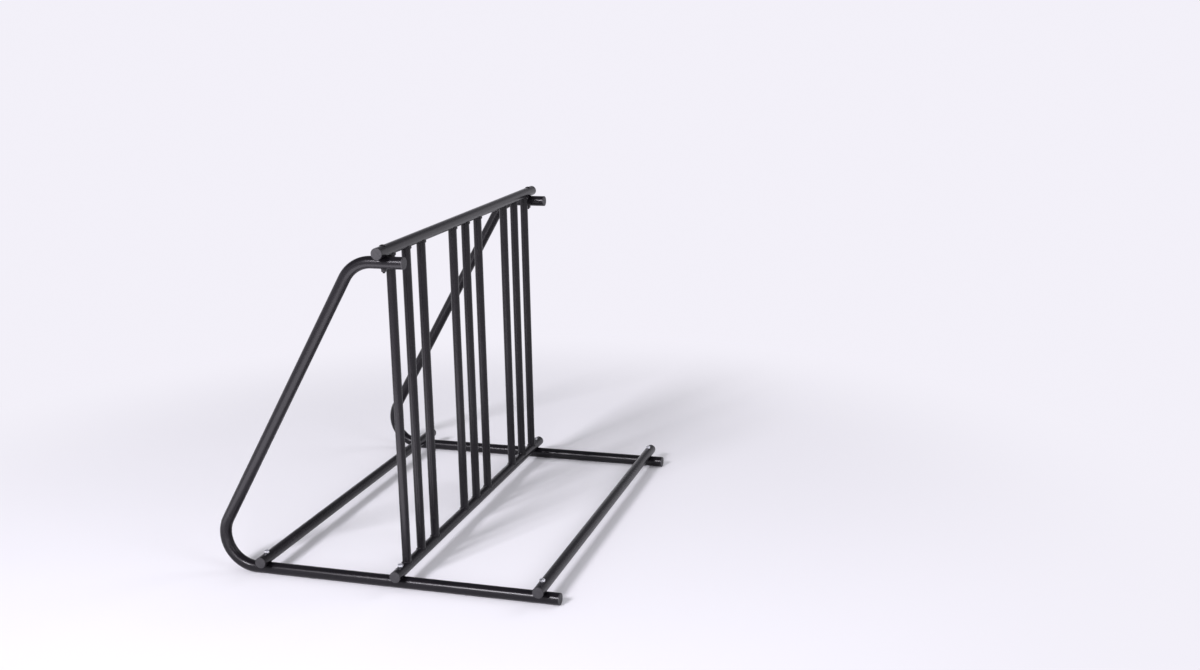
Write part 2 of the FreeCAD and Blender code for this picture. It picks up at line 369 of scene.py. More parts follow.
FLOAT, COLOUR, VECTOR = "NodeSocketFloat", "NodeSocketColor", "NodeSocketVector"

# %% Effect: surface grain
grain_group, put, out = new_group(
    "surface_grain",
    {"Position": (VECTOR, None), "Peel Size": (FLOAT, 0.002), "Tooth Size": (FLOAT, 0.0004),
     "Tooth Share": (FLOAT, 0.4)},
    {"Height": FLOAT, "Speckle": FLOAT},
)
peel = noise_of_size(grain_group, put["Position"], put["Peel Size"], detail=1.0)
tooth = noise_of_size(grain_group, put["Position"], put["Tooth Size"], detail=2.0)
tooth_part = math_node(grain_group, "MULTIPLY", tooth, put["Tooth Share"])
wire(grain_group, math_node(grain_group, "ADD", peel, tooth_part), out["Height"])
wire(grain_group, ramp(grain_group, tooth, 0.35, 0.65), out["Speckle"])

# %% Effect: patchy tone
tone_group, put, out = new_group(
    "patchy_tone",
    {"Position": (VECTOR, None), "Color": (COLOUR, (0.5, 0.5, 0.5, 1)),
     "Patch Size": (FLOAT, 0.06), "Spread": (FLOAT, 0.1)},
    {"Color": COLOUR},
)
NOISE_MIDDLE = 0.5
NOISE_REACH = 4.0             # noise seldom strays more than a quarter from its middle
patch = noise_of_size(tone_group, put["Position"], put["Patch Size"], detail=3.0)
stray = math_node(tone_group, "SUBTRACT", patch, NOISE_MIDDLE)
drift = math_node(tone_group, "MULTIPLY", stray, put["Spread"])
gain = math_node(tone_group, "ADD", math_node(tone_group, "MULTIPLY", drift, NOISE_REACH), 1.0)
scaled = tone_group.nodes.new("ShaderNodeVectorMath")
scaled.operation = "SCALE"
wire(tone_group, put["Color"], scaled.inputs[0])
wire(tone_group, gain, scaled.inputs["Scale"])
wire(tone_group, scaled.outputs["Vector"], out["Color"])

# %% Effect: rub marks
rub_group, put, out = new_group(
    "rub_marks",
    {"Position": (VECTOR, None), "Amount": (FLOAT, 0.3)},
    {"Mask": FLOAT},
)
RUB_STREAKS = (420, 420, 60)  # to the metre: narrow, and long up and down
RUB_PLACES = 22.0
streaked = stretch(rub_group, put["Position"], RUB_STREAKS)
streaks = ramp(rub_group, noise(rub_group, streaked, 1.0, 3.0, 0.6), 0.56, 0.68)
places = ramp(rub_group, noise(rub_group, put["Position"], RUB_PLACES), 0.5, 0.66)
mark = math_node(rub_group, "MULTIPLY", streaks, places)
wire(rub_group, math_node(rub_group, "MULTIPLY", mark, put["Amount"], clamp=True), out["Mask"])

# %% Effect: floor wear
floor_group, put, out = new_group(
    "floor_wear",
    {"Position": (VECTOR, None), "Height": (FLOAT, 0.006), "Amount": (FLOAT, 0.5)},
    {"Mask": FLOAT},
)
RAGS = 160.0                  # to the metre, along the upper edge of the wear
parts = floor_group.nodes.new("ShaderNodeSeparateXYZ")
wire(floor_group, put["Position"], parts.inputs[0])
rags = noise(floor_group, put["Position"], RAGS, 4.0)
ragged = math_node(floor_group, "MULTIPLY", rags, 1 / NOISE_MIDDLE)
reach = math_node(floor_group, "MULTIPLY", put["Height"], ragged)
height_share = math_node(floor_group, "DIVIDE", parts.outputs["Z"], reach)
near = math_node(floor_group, "SUBTRACT", 1.0, height_share, clamp=True)
wire(floor_group, math_node(floor_group, "MULTIPLY", near, put["Amount"]), out["Mask"])
print("effects:", [group.name for group in bpy.data.node_groups])

# %% [markdown]
# ## Finishes: the materials
#
# The rack has four finishes. The tubes and welds are powder coated, the plugs are moulded plastic,
# the bolts and nuts of the base joints are bright zinc, and the washers and the fasteners at the
# top are black oxide. Under the bright nuts the washers' black is partly painted shade: it also
# paints in the dark band of shade that lies under each nut. Each is one Principled shader, fed by
# the groups.

# %% Helpers: materials
def use_group(tree, group, **values):
    node = tree.nodes.new("ShaderNodeGroup")
    node.node_tree = group
    for name, value in values.items():
        wire(tree, value, node.inputs[name.replace("_", " ")])
    return node.outputs


def mix_colour(tree, share, first, second):
    """Mixes two colours. The Mix node has sockets for every kind of value, and its colour
    ones are 6, 7 and, on the way out, 2."""
    node = tree.nodes.new("ShaderNodeMix")
    node.data_type = "RGBA"
    wire(tree, share, node.inputs["Factor"])
    wire(tree, first, node.inputs[6])
    wire(tree, second, node.inputs[7])
    return node.outputs[2]


def new_material(name):
    """A material with its Principled shader, and the object coordinates it reads."""
    material = bpy.data.materials.new(name)
    material.use_nodes = True
    tree = material.node_tree
    shader = tree.nodes["Principled BSDF"]
    position = tree.nodes.new("ShaderNodeTexCoord").outputs["Object"]
    return material, tree, shader, position


def add_bump(tree, shader, height, depth):
    bump = tree.nodes.new("ShaderNodeBump")
    bump.inputs["Strength"].default_value = 1.0
    bump.inputs["Distance"].default_value = depth
    wire(tree, height, bump.inputs["Height"])
    wire(tree, bump.outputs["Normal"], shader.inputs["Normal"])


# %% [markdown]
# ### Powder coat
#
# A powder coat is baked plastic on steel, so it is no metal to the shader: a near black
# colour, a fairly low roughness that gives soft highlights along each tube, and the orange peel
# as bump. One even roughness would look drawn, so the teeth of the grain scatter more light
# than the dips, and what is rubbed or stands on the floor is paler and duller.

# %% Satin black powder coat
COAT_BLACK = (0.0068, 0.0058, 0.0078, 1)
COAT_RUBBED = (0.034, 0.032, 0.034, 1)
COAT_ROUGHNESS = 0.25
COAT_SPECKLE = 0.05           # rougher by this on the teeth of the grain
COAT_DULLED = 0.25            # rougher by this where it is worn
COAT_SPECULAR = 0.29
COAT_RELIEF = 0.07 * MM

powder_coat, tree, shader, position = new_material("powder_coat_satin_black")
grain = use_group(
    tree, grain_group, Position=position, Peel_Size=2.6 * MM, Tooth_Size=0.5 * MM,
    Tooth_Share=0.35)
tone = use_group(
    tree, tone_group, Position=position, Color=COAT_BLACK, Patch_Size=50 * MM, Spread=0.18)
rubbed = use_group(tree, rub_group, Position=position, Amount=0.35)
on_floor = use_group(tree, floor_group, Position=position, Height=4 * MM, Amount=0.6)
worn = math_node(tree, "MAXIMUM", rubbed["Mask"], on_floor["Mask"])
wire(tree, mix_colour(tree, worn, tone["Color"], COAT_RUBBED), shader.inputs["Base Color"])
speckle = math_node(tree, "MULTIPLY", grain["Speckle"], COAT_SPECKLE)
dulled = math_node(tree, "MULTIPLY", worn, COAT_DULLED)
gloss = math_node(tree, "ADD", COAT_ROUGHNESS, speckle)
wire(tree, math_node(tree, "ADD", gloss, dulled), shader.inputs["Roughness"])
shader.inputs["Specular IOR Level"].default_value = COAT_SPECULAR
add_bump(tree, shader, grain["Height"], COAT_RELIEF)

# %% [markdown]
# ### Plug plastic
#
# The plugs are softer moulded plastic, duller and a little paler than the coat. The grain of
# the mould is finer and sharper than orange peel, so the same group gets smaller sizes and a
# larger share of tooth.

# %% Moulded plug plastic
PLUG_GREY = (0.028, 0.027, 0.030, 1)
PLUG_SCUFFED = (0.070, 0.068, 0.070, 1)
PLUG_ROUGHNESS = 0.5
PLUG_SPECKLE = 0.12
PLUG_RELIEF = 0.05 * MM

plug_plastic, tree, shader, position = new_material("plug_plastic_moulded")
grain = use_group(
    tree, grain_group, Position=position, Peel_Size=1.2 * MM, Tooth_Size=0.25 * MM,
    Tooth_Share=0.8)
tone = use_group(
    tree, tone_group, Position=position, Color=PLUG_GREY, Patch_Size=12 * MM, Spread=0.1)
rubbed = use_group(tree, rub_group, Position=position, Amount=0.4)
scuffed = mix_colour(tree, rubbed["Mask"], tone["Color"], PLUG_SCUFFED)
wire(tree, scuffed, shader.inputs["Base Color"])
speckle = math_node(tree, "MULTIPLY", grain["Speckle"], PLUG_SPECKLE)
wire(tree, math_node(tree, "ADD", PLUG_ROUGHNESS, speckle), shader.inputs["Roughness"])
add_bump(tree, shader, grain["Height"], PLUG_RELIEF)

# %% [markdown]
# ### Zinc plate
#
# Zinc is a true metal, so its colour is the colour of its reflections. Its cloudy sheen tells
# it from chrome: colour and roughness change slowly together, over the fine rings that the
# cutting tool left.

# %% Bright zinc plate
ZINC = (0.84, 0.85, 0.87, 1)
ZINC_CLOUD = (0.72, 0.74, 0.79, 1)
ZINC_CLOUDS = 260.0           # to the metre
ZINC_ROUGHNESS = (0.22, 0.38)
ZINC_LINES = (900, 900, 9000)     # to the metre: fine rings left by the cutting tool
METAL_RELIEF = 0.02 * MM

zinc_plate, tree, shader, position = new_material("zinc_plate_bright")
cloud = noise(tree, position, ZINC_CLOUDS, 3.0)
tone = use_group(
    tree, tone_group, Position=position, Color=ZINC, Patch_Size=4 * MM, Spread=0.08)
clouded = mix_colour(tree, ramp(tree, cloud, 0.42, 0.66), tone["Color"], ZINC_CLOUD)
wire(tree, clouded, shader.inputs["Base Color"])
wire(tree, ramp(tree, cloud, 0.3, 0.7, *ZINC_ROUGHNESS), shader.inputs["Roughness"])
shader.inputs["Metallic"].default_value = 1.0
add_bump(tree, shader, noise(tree, stretch(tree, position, ZINC_LINES), 1.0), METAL_RELIEF)

# %% [markdown]
# ### Black oxide
#
# Blackened steel is a metal under a thin dark film, so it is set a little short of full
# metal. The film holds oil, and where it has run together the steel is shinier.

# %% Oiled black oxide
OXIDE_BLACK = (0.050, 0.048, 0.050, 1)
OIL_SPOTS = 300.0             # to the metre
OXIDE_ROUGHNESS = (0.3, 0.46)
OXIDE_METALLIC = 0.8

black_oxide, tree, shader, position = new_material("black_oxide_oiled")
tone = use_group(
    tree, tone_group, Position=position, Color=OXIDE_BLACK, Patch_Size=5 * MM, Spread=0.25)
grain = use_group(
    tree, grain_group, Position=position, Peel_Size=0.8 * MM, Tooth_Size=0.2 * MM,
    Tooth_Share=0.5)
wire(tree, tone["Color"], shader.inputs["Base Color"])
oil = ramp(tree, noise(tree, position, OIL_SPOTS), 0.3, 0.7, *OXIDE_ROUGHNESS)
wire(tree, oil, shader.inputs["Roughness"])
shader.inputs["Metallic"].default_value = OXIDE_METALLIC
add_bump(tree, shader, grain["Height"], METAL_RELIEF)
print("materials:", [m.name for m in (powder_coat, plug_plastic, zinc_plate, black_oxide)])

# %% [markdown]
# ## Finishing a piece
#
# When its shape is done, a piece gets smooth shading that stops at its sharp edges, its material
# and the body it moves with, and the CAD node in its place is hidden. The rack has no joints, so
# everything rides on the one body, root.

# %% Helpers: finish a piece
SMOOTH_UNDER = math.radians(32)


def finish_piece(piece, material, node):
    make_active(piece)
    bpy.ops.object.shade_smooth_by_angle(angle=SMOOTH_UNDER)
    piece.data.materials.clear()
    piece.data.materials.append(material)
    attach(piece, "root")
    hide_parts(node)


def report(piece):
    print(piece.name, len(piece.data.polygons), "faces,", count_open_edges(piece), "open edges")


# %% [markdown]
# ## Side frames
#
# A side frame is one length of tube, bent twice in a tube bender: 120 degrees at the back,
# where it leaves the floor, and 60 degrees at the top. A curve with a round bevel would do,
# but following the bender is just as short: a disc starts at the front end, is extruded
# along each straight and spun round the centre of each bend. Where a crossbar is bolted on,
# the tube has a dimple pressed up from below for the bolt's head, and at the top a small
# flat for the washer. These are cut out of a solid rod. Solidify could give it a wall, but it
# tears at the sharp rims of the dimples. So the bore is bent as a second, thinner rod, with
# each dimple in it one wall larger, and taken out of the first: the wall then runs round the
# dimples as pressed metal does. The bolt holes come last.

# %% Side frames: bend the tube
BEND_STEP = math.radians(3)
RING_GAP = 11 * MM            # from a joint to the rings on either side of it
rear_bend_x = tenth(side_low.x) + side_r + BEND_R
rear_turn = math.pi - SLANT


def spin_bend(angle, centre):
    """Spins the selected disc round a bend. The operator turns clockwise about +Y."""
    bpy.ops.mesh.spin(
        steps=round(angle / BEND_STEP), angle=-angle, center=centre, axis=(0, 1, 0))


def bent_rod(name, y, radius, past=0.0):
    """The side frame's path as a solid rod, each end standing out by past."""
    rings = [(x + side * RING_GAP, y, base_z) for x in reversed(joint_xs) for side in (1, -1)]
    piece = rod(name, radius, (base_front_x + past, y, base_z), (rear_bend_x, y, base_z), rings)
    select_faces(piece, lambda centre, normal: normal.x < -0.9)
    rear_centre = Vector((rear_bend_x, y, base_z + BEND_R))
    spin_bend(rear_turn, rear_centre)
    rear_end = rear_centre - Vector((math.sin(rear_turn), 0, math.cos(rear_turn))) * BEND_R
    rise = top_run_z - BEND_R * (1 - math.cos(SLANT)) - rear_end.z
    slant = Vector((rise / math.tan(SLANT), 0, rise))
    extrude(slant)
    top_centre = rear_end + slant + Vector((math.sin(SLANT), 0, -math.cos(SLANT))) * BEND_R
    spin_bend(SLANT, top_centre)
    top_stops = [top_centre.x, middle_x - RING_GAP, middle_x + RING_GAP, top_front_x + past]
    extrude_through([(x, y, top_run_z) for x in top_stops])
    bpy.ops.mesh.select_all(action="SELECT")
    bpy.ops.mesh.normals_make_consistent(inside=False)
    leave_edit()
    return piece


# %% Side frames: dimples, walls and bolt holes
DIMPLE_R = 6.8 * MM
DIMPLE_DEPTH = 3.0 * MM
SEAT_R = 6.3 * MM
SEAT_DEPTH = 0.8 * MM
BOLT_HOLE_R = 3.3 * MM
PAST = 5 * MM                 # how far a cutter stands out past what it cuts


def press_side_tube(piece, y, wall):
    """Dimples and the washer's seat, cut one wall larger into the bore than into the tube."""
    for x in joint_xs:
        boolean(piece, rod("dimple", DIMPLE_R + wall, (x, y, -PAST), (x, y, DIMPLE_DEPTH + wall)))
    seat_z = top_run_z - side_r + SEAT_DEPTH + wall
    boolean(piece, rod("seat", SEAT_R + wall, (middle_x, y, seat_z), (middle_x, y, seat_z - PAST)))


def make_side_frame(side):
    y = SIDE_YS[side]
    piece = bent_rod(f"side_frame_{side}_tube", y, side_r)
    press_side_tube(piece, y, 0)
    bore = bent_rod("bore", y, side_r - SIDE_WALL, PAST)
    press_side_tube(bore, y, SIDE_WALL)
    boolean(piece, bore)
    for x in joint_xs:
        boolean(piece, rod("hole", BOLT_HOLE_R, (x, y, -PAST), (x, y, 2 * side_r + PAST)))
    top_hole = (middle_x, y, top_run_z + side_r + PAST), (middle_x, y, top_run_z - side_r - PAST)
    boolean(piece, rod("hole", BOLT_HOLE_R, *top_hole))
    finish_piece(piece, powder_coat, f"side_frame_{side}")
    report(piece)


for side in SIDE_YS:
    make_side_frame(side)

# %% [markdown]
# ## Crossbars
#
# A round tube laid across another touches it in one point, and would rock there. So the
# crossbar is pressed into a shallow saddle where it crosses a side frame, and a bolt pulls
# the two together. The saddle is made with a boolean, with a rod the size of the side tube
# in the place of the press tool. On top, each bolt has a small round flat for its washer or
# its head. The bore is a second rod again, and each form in it is one wall larger.

# %% Crossbars
HEAD_SEAT_R = 6.8 * MM


def press_crossbar(piece, name, wall):
    """Saddles and seats, cut one wall larger into the bore than into the tube."""
    x, z, radius, _ = CROSSBARS[name]
    side_tube_z = top_run_z if name == "top" else base_z
    seat_r = HEAD_SEAT_R if name == "top" else SEAT_R
    for y in SIDE_YS.values():
        reach = Vector((2 * radius, 0, 0))
        middle = Vector((x, y, side_tube_z))
        boolean(piece, rod("saddle", side_r + wall, middle - reach, middle + reach))
        seat = Vector((x, y, z + radius - SEAT_DEPTH - wall))
        boolean(piece, rod("seat", seat_r + wall, seat, seat + Vector((0, 0, PAST))))


def make_crossbar(name):
    x, z, radius, end_y = CROSSBARS[name]
    rings = [(x, y + side * RING_GAP, z) for y in SIDE_YS.values() for side in (-1, 1)]
    piece = rod(f"crossbar_{name}_tube", radius, (x, -end_y, z), (x, end_y, z), rings)
    press_crossbar(piece, name, 0)
    bore_end = end_y + PAST
    bore = rod("bore", radius - CROSS_WALL, (x, -bore_end, z), (x, bore_end, z))
    press_crossbar(bore, name, CROSS_WALL)
    boolean(piece, bore)
    for y in SIDE_YS.values():
        low, high = z - radius - PAST, z + radius + PAST
        boolean(piece, rod("hole", BOLT_HOLE_R, (x, y, low), (x, y, high)))
    finish_piece(piece, powder_coat, f"crossbar_{name}")
    report(piece)


for name in CROSSBARS:
    make_crossbar(name)

# %% [markdown]
# ## Upright bars
#
# Each bar stands on the middle crossbar and carries the top one. A fitter copes both ends
# with a hole saw, so that they fit round the crossbars before they are welded. A rod the
# size of the crossbar does the hole saw's work here. One bar is made and copied to the other
# eight places.

# %% Upright bars
bar_foot = Vector((middle_x, bar_ys[0], low_cross_z))
bar_head = Vector((middle_x, bar_ys[0], top_cross_z))
ring_offset = Vector((0, 0, 2 * cross_r))
rings = [bar_foot + ring_offset, bar_head - ring_offset]
first_bar = rod("bar", bar_r, bar_foot, bar_head, rings)
for end in (bar_foot, bar_head):
    reach = Vector((0, 2 * bar_r, 0))
    boolean(first_bar, rod("hole_saw", cross_r, end - reach, end + reach))
boolean(first_bar, rod("bore", bar_r - BAR_WALL, bar_foot, bar_head))

for number, y in enumerate(bar_ys, start=1):
    bar = placed_copy(first_bar, f"upright_bar_{number}_tube", (0, y - bar_ys[0], 0))
    finish_piece(bar, powder_coat, f"upright_bar_{number}")
report(bar)
bpy.data.objects.remove(first_bar)

# %% [markdown]
# ## Weld beads
#
# A fillet weld runs once round the foot and the head of every bar. The bead follows the
# saddle line where the two tubes meet, and it is a row of small frozen puddles, which the
# powder coat has softened. A torus laid round the bar has the right section. Its rings are
# then moved by formula, which no single operator does: each ring drops with the crossbar's
# round crown, and its radius swells and shrinks a little from puddle to puddle.

# %% Weld beads
BEAD_R = 2.1 * MM
BEAD_SIDES = 12
BEAD_PATH_R = bar_r + 0.2 * MM
PUDDLES = 24
RINGS_PER_PUDDLE = 5
PUDDLE_EDGE = 1.5             # above 1, a puddle is flatter on top
RIPPLE = 0.05                 # share of the bead's radius, from puddle to puddle
WAVER = 0.07                  # the same, where the fitter's hand wavered


def bead(name, seed):
    """A rippled ring round the Z axis that hugs a crossbar lying along Y below it."""
    clear_selection()
    bpy.ops.mesh.primitive_torus_add(
        major_segments=PUDDLES * RINGS_PER_PUDDLE, minor_segments=BEAD_SIDES,
        major_radius=BEAD_PATH_R, minor_radius=BEAD_R)
    piece = bpy.context.object
    piece.name = name
    for vertex in piece.data.vertices:
        around = math.atan2(vertex.co.y, vertex.co.x)
        along = (around / math.tau) % 1
        core = Vector((math.cos(around), math.sin(around), 0)) * BEAD_PATH_R
        puddle = 1 - abs(math.sin(math.pi * PUDDLES * along)) ** PUDDLE_EDGE
        hand = math.sin(around * 3 + seed) * math.cos(around * 5 + seed)
        swell = 1 + RIPPLE * (1 - 2 * puddle) + WAVER * hand
        crown = math.sqrt(cross_r ** 2 - core.x ** 2)
        vertex.co = core + (vertex.co - core) * swell + Vector((0, 0, crown))
    return piece


for number, y in enumerate(bar_ys, start=1):
    for end, z, up in (("foot", low_cross_z, 1), ("head", top_cross_z, -1)):
        ring = bead("bead", seed=number * 1.7 + up)
        weld = placed_copy(ring, f"weld_{end}_{number}", (middle_x, y, z), (0, 0, up))
        bpy.data.objects.remove(ring)
        finish_piece(weld, powder_coat, "welds_lower" if end == "foot" else "welds_upper")
report(weld)

# %% [markdown]
# ## End plugs
#
# Twelve ribbed plugs close the open tube ends. Each is moulded in one piece: a round-edged
# cap, a hollow stem with three ribs that grip the bore, and in the middle of the face a
# small dish with the mark of the mould's gate. All of that is round, so the outline is drawn
# point by point and spun.

# %% End plugs
CAP_SHORT = 0.1 * MM          # cap radius below the tube's
CAP_EDGE = 1.0 * MM
STEM_LENGTH = 14 * MM
STEM_GAP = 0.9 * MM
STEM_WALL = 1.6 * MM
RIB_GAP = 0.05 * MM
RIB_WIDTH = 1.2 * MM
RIB_STARTS = [3.0 * MM, 6.5 * MM, 10.0 * MM]
EDGE_STEPS = 6
GATE_DISH = [(0, -0.25 * MM), (1.0 * MM, -0.22 * MM), (1.25 * MM, -0.05 * MM), (1.6 * MM, 0)]


def plug_outline(tube_r, wall):
    """From the middle of the face outwards, round the edge and back up inside the stem."""
    cap_r = tube_r - CAP_SHORT
    bore_r = tube_r - wall
    stem_r = bore_r - STEM_GAP
    outline = list(GATE_DISH)
    for step in range(EDGE_STEPS + 1):
        lean = math.pi / 2 * step / EDGE_STEPS
        outline.append((
            cap_r - CAP_EDGE * (1 - math.sin(lean)),
            -CAP_EDGE * (1 - math.cos(lean)),
        ))
    outline += [(cap_r, -cap_depth), (stem_r, -cap_depth)]
    for start in RIB_STARTS:
        outline += [
            (stem_r, -cap_depth - start),
            (bore_r - RIB_GAP, -cap_depth - start),
            (bore_r - RIB_GAP, -cap_depth - start - RIB_WIDTH / 2),
            (stem_r, -cap_depth - start - RIB_WIDTH),
        ]
    tip = -cap_depth - STEM_LENGTH
    hollow_r = stem_r - STEM_WALL
    outline += [(stem_r, tip), (hollow_r, tip), (hollow_r, -cap_depth), (0, -cap_depth)]
    return outline


side_plug = turned("side_plug", plug_outline(side_r, SIDE_WALL))
cross_plug = turned("cross_plug", plug_outline(cross_r, CROSS_WALL))
PLUG_PLACES = {}
for side, y in SIDE_YS.items():
    outward = math.copysign(1, y)
    for run, x, z in (("base", base_front_x, base_z), ("top_run", top_front_x, top_run_z)):
        PLUG_PLACES[f"plug_{run}_{side}"] = (side_plug, (x + cap_depth, y, z), (1, 0, 0))
    for name, (x, z, _, end_y) in CROSSBARS.items():
        face = (x, outward * (end_y + cap_depth), z)
        PLUG_PLACES[f"plug_crossbar_{name}_{side}"] = (cross_plug, face, (0, outward, 0))

for node, (shape, face, facing) in PLUG_PLACES.items():
    plug = placed_copy(shape, node + "_moulding", face, facing)
    finish_piece(plug, plug_plastic, node)
report(plug)
bpy.data.objects.remove(side_plug)
bpy.data.objects.remove(cross_plug)

# %% [markdown]
# ## Bolts, washers and nuts
#
# Eight M6 carriage bolts hold the rack together. In the base the domed head hides in the
# dimple under the tube, and the nut shows on top of the crossbar. At the top joint it is the
# other way round. The thread comes first. A stack of turned rings would pass from afar, but
# it is a true helix here: a zigzag line one pitch high per tooth goes once round the axis
# while it climbs one pitch, so that each tooth meets the next.

# %% Threaded rod
BOLT_R = 3.0 * MM
PITCH = 1.0 * MM
THREAD_DEPTH = 0.55 * MM
THREAD_LENGTH = 18 * MM
THREAD_STEPS = 28             # steps to the turn
TIP_CHAMFER = 0.6 * MM
CREST_R = BOLT_R - 0.02 * MM
ROOT_R = CREST_R - THREAD_DEPTH
TOOTH = [(0, ROOT_R), (0.2, ROOT_R), (0.5, CREST_R), (0.65, CREST_R)]   # share of the pitch, radius
CUT_WITHIN = 0.0001 * MM


def thread_outline():
    """Tooth after tooth, from below the tip to above the end of the thread."""
    teeth = range(-2, round(THREAD_LENGTH / PITCH) + 1)
    return [(radius, (tooth + share) * PITCH) for tooth in teeth for share, radius in TOOTH]


def cut_off(piece, height, keep_above):
    edit(piece)
    bpy.ops.mesh.bisect(
        plane_co=(0, 0, height), plane_no=(0, 0, 1), use_fill=True, threshold=CUT_WITHIN,
        clear_inner=keep_above, clear_outer=not keep_above)
    leave_edit()


def threaded_rod():
    """The threaded end of a bolt, its tip at z = 0 and the thread running up from it."""
    piece = drawn_line("thread", thread_outline())
    leave_edit()
    apply_modifier(
        piece, "SCREW", angle=math.tau, screw_offset=PITCH, iterations=1, steps=THREAD_STEPS,
        render_steps=THREAD_STEPS, use_merge_vertices=False)
    merge_close(piece)
    cut_off(piece, 0.0, keep_above=True)
    cut_off(piece, THREAD_LENGTH, keep_above=False)
    edit(piece)
    bpy.ops.mesh.normals_make_consistent(inside=False)
    leave_edit()
    wide_r = BOLT_R + PITCH
    blank = turned("blank", [
        (0, 0), (CREST_R - TIP_CHAMFER, 0), (wide_r, TIP_CHAMFER + PITCH),
        (wide_r, 2 * THREAD_LENGTH), (0, 2 * THREAD_LENGTH),
    ])
    boolean(piece, blank, "INTERSECT")
    return piece


# %% [markdown]
# ### Carriage bolts
#
# A carriage bolt has a low domed head with no slot, and a square neck under it that keeps it
# from turning. The head and the shank are one turned outline. The neck and the thread are
# joined on with booleans, because each is a form of another kind.

# %% Carriage bolts
HEAD_R = 6.5 * MM
HEAD_HEIGHT = 2.8 * MM
HEAD_RIM = 0.6 * MM
NECK = 5.9 * MM
NECK_LENGTH = 3.5 * MM
DOME_STEPS = 8


def carriage_bolt(name, length):
    """Head above z = 0, square neck, shank and thread below it."""
    rise = HEAD_HEIGHT - HEAD_RIM
    sphere_r = (HEAD_R ** 2 + rise ** 2) / (2 * rise)
    widest = math.asin(HEAD_R / sphere_r)
    outline = [(0, HEAD_HEIGHT)]
    for step in range(1, DOME_STEPS + 1):
        lean = widest * step / DOME_STEPS
        outline.append((sphere_r * math.sin(lean), HEAD_HEIGHT - sphere_r * (1 - math.cos(lean))))
    shank_end = -length + THREAD_LENGTH - PITCH
    outline += [(HEAD_R, 0), (BOLT_R, 0), (BOLT_R, shank_end), (0, shank_end)]
    piece = turned(name, outline)
    clear_selection()
    bpy.ops.mesh.primitive_cube_add(size=NECK, location=(0, 0, -NECK_LENGTH + NECK / 2))
    neck = bpy.context.object
    bpy.ops.object.transform_apply(location=True, rotation=True, scale=True)
    boolean(piece, neck, "UNION")
    thread = threaded_rod()
    thread.location.z = -length
    make_active(thread)
    bpy.ops.object.transform_apply(location=True, rotation=True, scale=True)
    boolean(piece, thread, "UNION")
    merge_close(piece)
    report(piece)
    return piece


# %% [markdown]
# ### Washers and nuts
#
# A washer is turned from its section. The nut is a six-sided prism, and what the lathe leaves
# of its corners is its crossing with a turned blank. A drill that widens at each end makes
# the bore and its two countersinks.

# %% Washer and nut blanks
WASHER_R = 6.0 * MM
WASHER_HOLE_R = 3.2 * MM
WASHER_EDGE = 0.25 * MM
NUT_FLATS = 10 * MM
NUT_CHAMFER = math.radians(30)
NUT_BORE_R = 3.02 * MM
COUNTERSINK = 0.45 * MM
washer_low, washer_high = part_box("base_washers")
nut_low, nut_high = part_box("base_nuts")
washer_depth = tenth(washer_high.z - washer_low.z)
nut_height = tenth(nut_high.z - nut_low.z)

washer_blank = turned("washer", [
    (WASHER_HOLE_R, 0), (WASHER_R - WASHER_EDGE, 0), (WASHER_R, WASHER_EDGE),
    (WASHER_R, washer_depth - WASHER_EDGE), (WASHER_R - WASHER_EDGE, washer_depth),
    (WASHER_HOLE_R, washer_depth), (WASHER_HOLE_R, 0),
])


def hex_nut():
    corner_r = NUT_FLATS / math.sqrt(3)
    drop = (corner_r - NUT_FLATS / 2) * math.tan(NUT_CHAMFER)
    clear_selection()
    bpy.ops.mesh.primitive_circle_add(vertices=6, radius=corner_r, fill_type="NGON")
    piece = bpy.context.object
    piece.name = "nut"
    edit(piece)
    extrude((0, 0, nut_height))
    bpy.ops.mesh.select_all(action="SELECT")
    bpy.ops.mesh.normals_make_consistent(inside=False)
    leave_edit()
    outside = 2 * corner_r - NUT_FLATS / 2
    blank = turned("blank", [
        (0, 0), (NUT_FLATS / 2, 0), (outside, 2 * drop), (outside, nut_height - 2 * drop),
        (NUT_FLATS / 2, nut_height), (0, nut_height),
    ])
    boolean(piece, blank, "INTERSECT")
    wide_r = NUT_BORE_R + COUNTERSINK + PAST
    drill = turned("drill", [
        (0, -PAST), (wide_r, -PAST), (NUT_BORE_R, COUNTERSINK),
        (NUT_BORE_R, nut_height - COUNTERSINK), (wide_r, nut_height + PAST),
        (0, nut_height + PAST),
    ])
    boolean(piece, drill)
    merge_close(piece)
    return piece


nut_blank = hex_nut()
report(washer_blank)
report(nut_blank)

# %% [markdown]
# ### Every fastener in its place
#
# One blank of each kind is copied to all its places. Nobody lines up nuts, so each stops at
# an angle of its own.

# %% Fasteners in their places
NUT_TURN = math.radians(23)   # each nut stops at another angle
base_head_z = DIMPLE_DEPTH
base_bolt = carriage_bolt("bolt", tenth(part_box("base_bolts")[1].z) - base_head_z)
top_bolts_low, top_bolts_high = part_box("top_bolts")
top_head_z = tenth(top_bolts_high.z) - HEAD_HEIGHT
top_bolt = carriage_bolt("bolt", top_head_z - tenth(top_bolts_low.z))


def fasten(place, number, x, y, bolt_blank, head_z, upwards, bright):
    """One bolt with its washer and nut, the nodes' boxes giving the heights of the last two."""
    washer_z, nut_z = (tenth(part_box(f"{place}_{kind}")[0].z) for kind in ("washers", "nuts"))
    bolt = placed_copy(bolt_blank, f"{place}_bolt_{number}", (x, y, head_z), (0, 0, upwards))
    finish_piece(bolt, bright, f"{place}_bolts")
    washer = placed_copy(washer_blank, f"{place}_washer_{number}", (x, y, washer_z))
    # The washer's black is partly painted shade: it paints the dark band of shade under the bright
    # nut.
    finish_piece(washer, black_oxide, f"{place}_washers")
    turn = number * NUT_TURN
    nut = placed_copy(nut_blank, f"{place}_nut_{number}", (x, y, nut_z), turn=turn)
    finish_piece(nut, bright, f"{place}_nuts")


